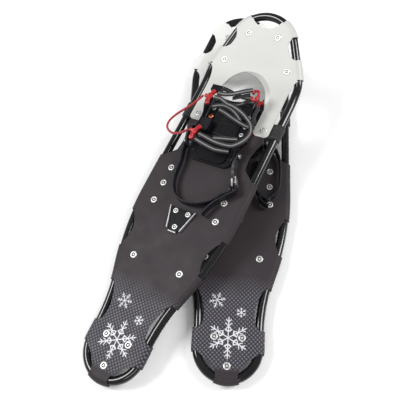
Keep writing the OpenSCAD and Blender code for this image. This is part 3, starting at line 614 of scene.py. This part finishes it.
def sheet(outline, grid):
    """A sheet cut to an outline drawn in the flat, then bent up at the head.

    Returns vertices, faces and the number of the first face of the cut edge.
    """
    pts = [Vector(p) for p in outline]
    n = len(pts)
    xs = [p[0] for p in outline]
    ys = [p[1] for p in outline]
    extra = [Vector((x, y)) for x in np.arange(min(xs) + 1, max(xs), grid)
             for y in np.arange(min(ys) + 1, max(ys), grid)]
    got = delaunay_2d_cdt(pts + extra, [(i, (i + 1) % n) for i in range(n)], [list(range(n))], 1, 0.05)
    plane, tris = got[0], got[2]
    top = [bend(p[0], p[1], 0.0) for p in plane]
    under = [bend(p[0], p[1], -DECK_T) for p in plane]
    m = len(plane)
    faces = [list(t) for t in tris] + [[i + m for i in t][::-1] for t in tris]
    walls = len(faces)
    count = {}
    for t in tris:
        for k in range(len(t)):
            e = (t[k], t[(k + 1) % len(t)])
            key = tuple(sorted(e))
            count[key] = None if key in count else e
    for e in count.values():
        if e:
            faces.append([e[1], e[0], e[0] + m, e[1] + m])
    return top + under, faces, walls


def tab(u0, u1, side):
    """A tab from the sheet's edge round the tube and back under the sheet to its rivet."""
    steps = max(4, int((u1 - u0) / 3))
    turns = np.radians(np.linspace(90, WRAP_END, 26))
    out_r = TUBE_R + WRAP_GAP + DECK_T
    outer = [(out_r * math.cos(a), out_r * math.sin(a)) for a in turns]
    outer += [(TAB_TURN, TAB_LOW), (TAB_END, TAB_LOW)]
    inner_r = out_r - DECK_T
    inner = [(inner_r * math.cos(a), inner_r * math.sin(a)) for a in turns]
    inner += [(TAB_TURN_INNER, TAB_HIGH), (TAB_END, TAB_HIGH)]
    profile = outer + inner[::-1]
    m = len(profile)
    verts, faces = [], []
    us = np.linspace(u0, u1, steps + 1)
    for u in us:
        signed = u if side > 0 else -u
        if abs(signed) < 1e-6:
            signed = 1e-6
        verts += [beside(signed, n, TUBE_Z + h) for n, h in profile]
    for i in range(steps):
        faces += [[i * m + j, i * m + (j + 1) % m, (i + 1) * m + (j + 1) % m, (i + 1) * m + j]
                  for j in range(m)]
    k = len(outer)
    for end in (0, steps):
        faces += [[end * m + j, end * m + j + 1, end * m + m - 2 - j, end * m + m - 1 - j]
                  for j in range(k - 1)]
    return verts, faces, 2 * (k - 1)


def deck(shoe, kind, outline, tabs, look, cut, grid):
    verts, faces, walls = sheet(outline, grid)
    picks = [0] * walls + [1] * (len(faces) - walls)
    parts = [(verts, faces)]
    for u0, u1 in tabs:
        for side in ((1,) if u0 < 0 else (1, -1)):
            v, f, ends = tab(u0, u1, side)
            parts.append((v, f))
            picks += [0] * (len(f) - ends) + [1] * ends
    v, f = merge(parts)
    make(shoe + "_" + kind + "_sheet", v, f, shoe, shoe + "_shoe", look, stands_for=[shoe + "_" + kind],
         looks=[look, cut], picks=picks, crease=35)


# ------------------------------------------------------------------ printed flakes
def stroke(p, q, width, h):
    """A flat line on the deck with a pointed end."""
    p, q = np.array(p, float), np.array(q, float)
    d = unit(q - p)
    n = np.array([-d[1], d[0]]) * width / 2
    pts = [p + n, q - d * width / 2 + n, q, q - d * width / 2 - n, p - n]
    return [(x, y, h) for x, y in pts], [[4, 3, 2, 1, 0]]


def flake(cx, cy, r, width, branches, petals, turn=0):
    """A six-armed flake: branches are (distance, length) shares of the radius."""
    parts = []
    h = 0.06
    for k in range(6):
        a = math.radians(30 + turn + 60 * k)

        def at(dist, off):
            return (cx + r * dist * math.cos(a + off), cy + r * dist * math.sin(a + off))

        strokes = [((cx, cy), at(1, 0), width)]
        for dist, length in branches:
            for side in (-1, 1):
                base = np.array(at(dist, 0))
                tip = base + r * length * np.array([math.cos(a + side * 0.85), math.sin(a + side * 0.85)])
                strokes.append((base, tip, width * 0.9))
        if petals:
            for side in (-1, 1):
                strokes.append((at(0.30, 0), at(0.44, side * 0.40), width * 1.3))
                strokes.append((at(0.56, 0), at(0.40, side * 0.46), width * 0.9))
        for p, q, w in strokes:
            parts.append(stroke(p, q, w, h))
            h += 0.0015
    return parts


def flakes(shoe):
    parts = flake(0, 78, 36, 1.75, [(0.56, 0.24), (0.76, 0.19)], True)
    parts += flake(-22, 143, 15, 1.15, [(0.42, 0.3), (0.70, 0.22)], False, -18)
    parts += flake(21, 123, 9.2, 1.2, [(0.55, 0.36)], False)
    v, f = merge(parts)
    make(shoe + "_flake_print", v, f, shoe, shoe + "_shoe", "print")


# ------------------------------------------------------------------ webbing straps at the pivot
WEB_R = 10.5                              # outside of the webbing round the tube


def pivot_strap(shoe):
    """Webbing folded round the tube and the rod's end, in two plies with stitched rows."""
    parts = []
    for side in (-1, 1):
        turns = np.radians(np.linspace(140, -140, 40))
        loop = [(HALF_W + WEB_R * math.cos(a), TUBE_Z + WEB_R * math.sin(a)) for a in turns]
        loop += [(86, -13.6), (70, -14.6), (61, -15.4), (59, -13), (59, -6), (61, -3.9), (70, -3.7),
                 (86, -3.6)]
        m = len(loop)
        verts, faces = [], []
        ys = [527, 528, 531, 531.6, 532.2, 542.5, 552.8, 553.4, 554, 557, 558]
        swell = [0.5, 0, 0, 0.35, 0, 0, 0, 0.35, 0, 0, 0.5]
        for y, dip in zip(ys, swell):
            for x, z in loop:
                away = math.hypot(x - HALF_W, z - TUBE_Z) if x > 88 else 0
                k = 1 - dip / away if away else 1
                across = HALF_W + (x - HALF_W) * k if away else x
                verts.append((side * across, y, TUBE_Z + (z - TUBE_Z) * k))
        for i in range(len(ys) - 1):
            faces += [[i * m + j, i * m + (j + 1) % m, (i + 1) * m + (j + 1) % m, (i + 1) * m + j]
                      for j in range(m)]
        faces += [list(range(m)), [(len(ys) - 1) * m + j for j in range(m)]]
        parts.append((verts, faces))
    v, f = merge(parts)
    make(shoe + "_pivot_webbing", v, f, shoe, shoe + "_shoe", "webbing", stands_for=[shoe + "_pivot_straps"],
         crease=50)


# ------------------------------------------------------------------ laces and their fittings
MAIN_LACE = [(-30.5, 556.5, 45), (-18, 557, 44.5), (-8, 553.5, 44), (1.5, 550, 43), (13, 549, 41.5),
             (27, 545, 39), (36, 541.5, 37), (46, 536, 34), (55, 530, 31), (61, 522, 28.5), (64, 512, 27.5),
             (63, 500, 28.5), (58.5, 488, 31.5), (52, 478, 34.5), (44, 472, 35.5), (29, 469.5, 37),
             (9, 469.5, 39.5), (-7, 472, 42), (-24, 474.5, 43.8)]
FRONT_LACE = [(-28, 568.5, 44), (-22, 568, 44), (-12, 569, 43.5), (-1, 572.5, 43), (12, 580, 42),
              (22, 586.5, 41), (29, 590.5, 40.3), (35, 594, 39.5)]
CROSS_LACE = [(-31, 542, 34), (-21, 547, 34), (-8, 549.5, 34), (8, 547, 31.5), (21, 541, 27.5), (32, 533, 23)]
SIDE_LACE = [(-16, 541, 31), (0, 537, 30), (16, 532, 28), (34, 527.5, 25), (46, 525.5, 22.5), (53, 526, 22),
             (60, 531, 21.5)]
REAR_LACE = [(-26.5, 463, 42), (-15, 460.5, 40), (-4, 459, 37.5), (14, 457.5, 33), (28, 460.5, 29),
             (40, 464.5, 25)]
SHORT_LACE = [(3, 478, 35), (21, 484, 31), (33, 488, 28), (45, 492.5, 25.5)]


def laces(shoe, lift):
    body = shoe + "_binding"
    for i, route in enumerate((MAIN_LACE, FRONT_LACE, CROSS_LACE, SIDE_LACE, REAR_LACE, SHORT_LACE)):
        lace(f"{shoe}_lace_{i}", route, shoe, body, binding=True, stands_for=[shoe + "_lace"], lift=lift,
             up=(0.35, -0.3, 1))


def lifted(z, lift):
    return PLATE_TOP + (z - PLATE_TOP) * lift


def slab(outline, z0, z1, at, angle):
    """An upright solid with an outline in plan, its corners eased towards both faces."""
    o = np.array(outline, float)
    inward = np.roll(o, -1, 0) - np.roll(o, 1, 0)
    inward = unit(np.stack([-inward[:, 1], inward[:, 0]], 1))
    area = np.sum(o[:, 0] * np.roll(o[:, 1], -1) - o[:, 1] * np.roll(o[:, 0], -1))
    if area < 0:
        inward = -inward
    c, s = math.cos(angle), math.sin(angle)
    turn2 = np.array([[c, -s], [s, c]])
    rim = 0.25 * (z1 - z0)
    levels = [(0, rim), (rim * 0.3, rim * 0.3), (rim, 0), (z1 - z0 - rim, 0),
              (z1 - z0 - rim * 0.3, rim * 0.3), (z1 - z0, rim)]
    verts = []
    for h, inset in levels:
        ring_ = (o + inward * inset) @ turn2.T + at
        verts += [(x, y, z0 + h) for x, y in ring_]
    m = len(o)
    faces = [[i * m + j, i * m + (j + 1) % m, (i + 1) * m + (j + 1) % m, (i + 1) * m + j]
             for i in range(5) for j in range(m)]
    faces += [list(range(m))[::-1], [5 * m + j for j in range(m)]]
    return np.array(verts), faces


def closed(points, steps):
    """A closed smooth outline through given points."""
    p = list(points)
    q = smooth(p[-2:] + p + p[:2], steps)
    return q[2 * steps:(2 + len(p)) * steps]


FORK = [(-9, 3), (-4, 3.4), (-1.6, 6), (0, 15), (4, 17), (8, 14.6), (6.4, 9), (5, 4), (7, 0), (5, -4),
        (6.4, -9), (8, -14.6), (4, -17), (0, -15), (-1.6, -6), (-4, -3.4), (-9, -3)]
RING_X, RING_Y, RING_Z, RING_TURN = 44, 584, 38, 10
# The ring's centre line: its ends' radius, half its straight part and half its opening
RING_R, RING_HALF, RING_GAP = 5.5, 5.5, 4


def guides(shoe, lift):
    body = shoe + "_binding"
    for kind, at, z, angle in (("front_guide", (-41, 555), 45, -6), ("rear_guide", (-35, 476), 44, -14)):
        z = lifted(z, lift)
        v, f = slab(closed(FORK, 4), z - 3.5, z + 3.5, at, math.radians(angle))
        make(f"{shoe}_{kind}_look", v, f, shoe, body, "red", binding=True, stands_for=[f"{shoe}_{kind}"],
             crease=50)
    z = lifted(RING_Z, lift)
    line = [(-RING_R, -RING_GAP)] + arc(0, -RING_HALF, RING_R, 180, 360, 18)
    line += arc(0, RING_HALF, RING_R, 0, 180, 18) + [(-RING_R, RING_GAP)]
    t = math.radians(RING_TURN)
    pts = [(RING_X + x * math.cos(t) - y * math.sin(t), RING_Y + x * math.sin(t) + y * math.cos(t), z)
           for x, y in line]
    v, f = sweep(pts, [(x * 2.5, y * 3.4) for x, y in ring(1, 14)], (0, 0, 1))
    make(shoe + "_ring_look", v, f, shoe, body, "red", binding=True, stands_for=[shoe + "_ring_guide"],
         crease=60)


LOOP = [(-53.6, 555, 45), (-60, 545, 43), (-73, 530, 38), (-95, 511, 30), (-107, 496, 25), (-108, 482, 23),
          (-97, 471.5, 25), (-81, 467.5, 29), (-62, 471, 36), (-47.8, 477.8, 43.5)]
TUCKED = [(-36, 542, 14), (-24, 546, 13), (-8, 544, 12), (4, 534, 11), (7, 518, 11), (3, 504, 12),
          (-8, 499.2, 13), (-22, 499.2, 14), (-33, 503, 15)]

# ------------------------------------------------------------------ heel straps
BUCKLE, BUCKLE_TURN = (72.5, 410.0), math.radians(26)


def at_buckle(x, y):
    c, s = math.cos(BUCKLE_TURN), math.sin(BUCKLE_TURN)
    return BUCKLE[0] + x * c - y * s, BUCKLE[1] + x * s + y * c


BUCKLED = [(-55.6, 470), (-55.6, 458), (-53.5, 446), (-49.5, 433), (-46.5, 418), (-45, 402), (-41.5, 385),
           (-35, 369.5), (-25, 356.5), (-10, 348.5), (8, 347.7), (26, 352), (42, 360.5), (53, 370),
           (62.5, 383), at_buckle(-4.7, -15), at_buckle(-4.6, -7.5), at_buckle(-3.5, -3.6),
           at_buckle(0, -1.8), at_buckle(3.5, -3.6), at_buckle(4.6, -7.5), at_buckle(5.2, -15), (78, 391.5),
           (70.5, 383.5), (63.5, 375.5), (57, 367), (51.5, 357), (47, 346), (44, 336)]
OPEN = [(-55.6, 470), (-55.8, 461), (-60, 455.5), (-68, 455.5), (-76, 452), (-81, 441), (-85, 428),
          (-86, 408), (-86, 385), (-84, 365), (-77, 352), (-67, 342.5), (-56, 341.5), (-45, 350),
          (-39.5, 366), (-40, 390), (-46, 415), (-51, 433)]
OPEN_END = [(-46, 349), (-49, 339), (-55, 331), (-64, 326)]
STRAP_Z = 12.9
STRAP_SECTION = [(-1.8, -7.2), (-1.1, -8), (1.1, -8), (1.8, -7.2), (1.8, -5.6), (1.45, -5.2), (1.45, 5.2),
                 (1.8, 5.6), (1.8, 7.2), (1.1, 8), (-1.1, 8), (-1.8, 7.2), (-1.8, 5.6), (-1.45, 5.2),
                 (-1.45, -5.2), (-1.8, -5.6)]


def heel_strap(shoe, routes):
    parts = [sweep([(x, y, STRAP_Z) for x, y in smooth(r, 6)], STRAP_SECTION, (0, 0, 1)) for r in routes]
    parts.append(lathe([(3.15, -1.7), (7.3, -1.8), (7.6, -1.2), (7.6, 1.2), (7.3, 1.8), (3.15, 1.7)],
                       (-55.6, 466, 13), (1, 0, 0)))
    v, f = merge(parts)
    make(shoe + "_strap_look", v, f, shoe, shoe + "_strap", "strap", binding=True,
         stands_for=[shoe + "_heel_strap"], crease=45)


# ------------------------------------------------------------------ build
FLAT_LIFT = 0.55                          # the lower binding is folded to this share of its height
for shoe in ("base", "top"):
    lift = 1.0 if shoe == "top" else FLAT_LIFT
    frame_tube(shoe)
    body = shoe + "_shoe"
    deck(shoe, "main_deck", main_outline(), MAIN_TABS, "deck_" + shoe, "deck_cut", 24)
    deck(shoe, "toe_deck", toe_outline(), TOE_TABS, "toe_" + shoe, "toe_cut", 5)
    flakes(shoe)
    pivot_strap(shoe)
    rivets(shoe + "_deck_rivet_set", [(x, y, 0) for x, y in DECK_RIVETS], shoe, body, shoe + "_deck_rivets")
    rivets(shoe + "_toe_rivet_set", [(x, y, 0.1) for x, y in TOE_RIVETS], shoe, body,
           shoe + "_toe_deck_rivets")
    rivets(shoe + "_heel_rivet_set", [(x, y, 2.6) for x, y in HEEL_RIVETS], shoe, body,
           shoe + "_heel_plate_rivets", 0.8)
    rivets(shoe + "_wing_rivet_set", [(x, y, PLATE_TOP + 2.6) for x, y in WING_RIVETS], shoe,
           shoe + "_binding", shoe + "_wing_rivets", 0.66, binding=True)
    laces(shoe, lift)
    guides(shoe, lift)
    heel_strap(shoe, [BUCKLED] if shoe == "top" else [OPEN, OPEN_END])
cord("top_loop_look", LOOP, 4.4, "top", "top_loop", binding=True, stands_for=["top_pull_loop"])
cord("base_loop_look", TUCKED, 4.2, "base", "base_binding", binding=True, stands_for=["base_pull_loop"])
lace("top_tail_a", [(1, 569, 34.5), (10, 573.8, 34.7), (20, 579, 34.8), (32, 585.5, 34.8)], "top",
     "top_binding", binding=True, stands_for=["top_lace_tails"], plain=True)
lace("top_tail_b", [(24, 569.5, 30.2), (31, 573.2, 30.4), (41, 578.4, 30.4)], "top",
     "top_binding", binding=True, stands_for=["top_lace_tails"], plain=True, width=0.8)

# The CAD nodes that still show
CAD_LOOKS = {
    "tail_ferrule": "ferrule", "pivot_rod": "steel", "heel_crampon": "crampon", "heel_plate": "plate",
    "foot_plate": "plate", "toe_crampon": "black_steel", "tread_panel": "plate", "heel_pad": "pad",
    "left_wing": "binding", "right_wing": "binding", "copper_rivet": "copper", "strap_pins": "steel",
    "front_arm": "binding", "lace_lock": "binding", "ladder_link": "dark_link", "buckle_frame": "steel",
    "buckle_lever": "steel"}
EASED = {"left_wing": 0.0012, "right_wing": 0.0012, "foot_plate": 0.0012, "heel_pad": 0.0012,
         "lace_lock": 0.0012, "front_arm": 0.0009, "tread_panel": 0.0004}
for name, obj in nodes.items():
    if obj.hide_render:
        continue
    kind = name.split("_", 1)[1]
    obj.data.materials.clear()
    obj.data.materials.append(MAT[CAD_LOOKS[kind]])
    weld = obj.modifiers.new("weld", "WELD")
    weld.merge_threshold = 1e-5
    soften(obj, EASED.get(kind, 0.0005))

# ------------------------------------------------------------------ floor
mesh = bpy.data.meshes.new("floor")
mesh.from_pydata([(-6, -6, 0), (6, -6, 0), (6, 6, 0), (-6, 6, 0)], [], [(0, 1, 2, 3)])
floor = bpy.data.objects.new("floor", mesh)
bpy.context.scene.collection.objects.link(floor)
g = Graph("floor")
g.link(g.ramp(g.noise(3, 2), [(0.3, (0.955, 0.955, 0.96)), (0.7, (0.97, 0.97, 0.975))]),
       g.shader.inputs["Base Color"])
g.shader.inputs["Roughness"].default_value = 0.9
mesh.materials.append(g.material)
floor.location.z = -0.0005
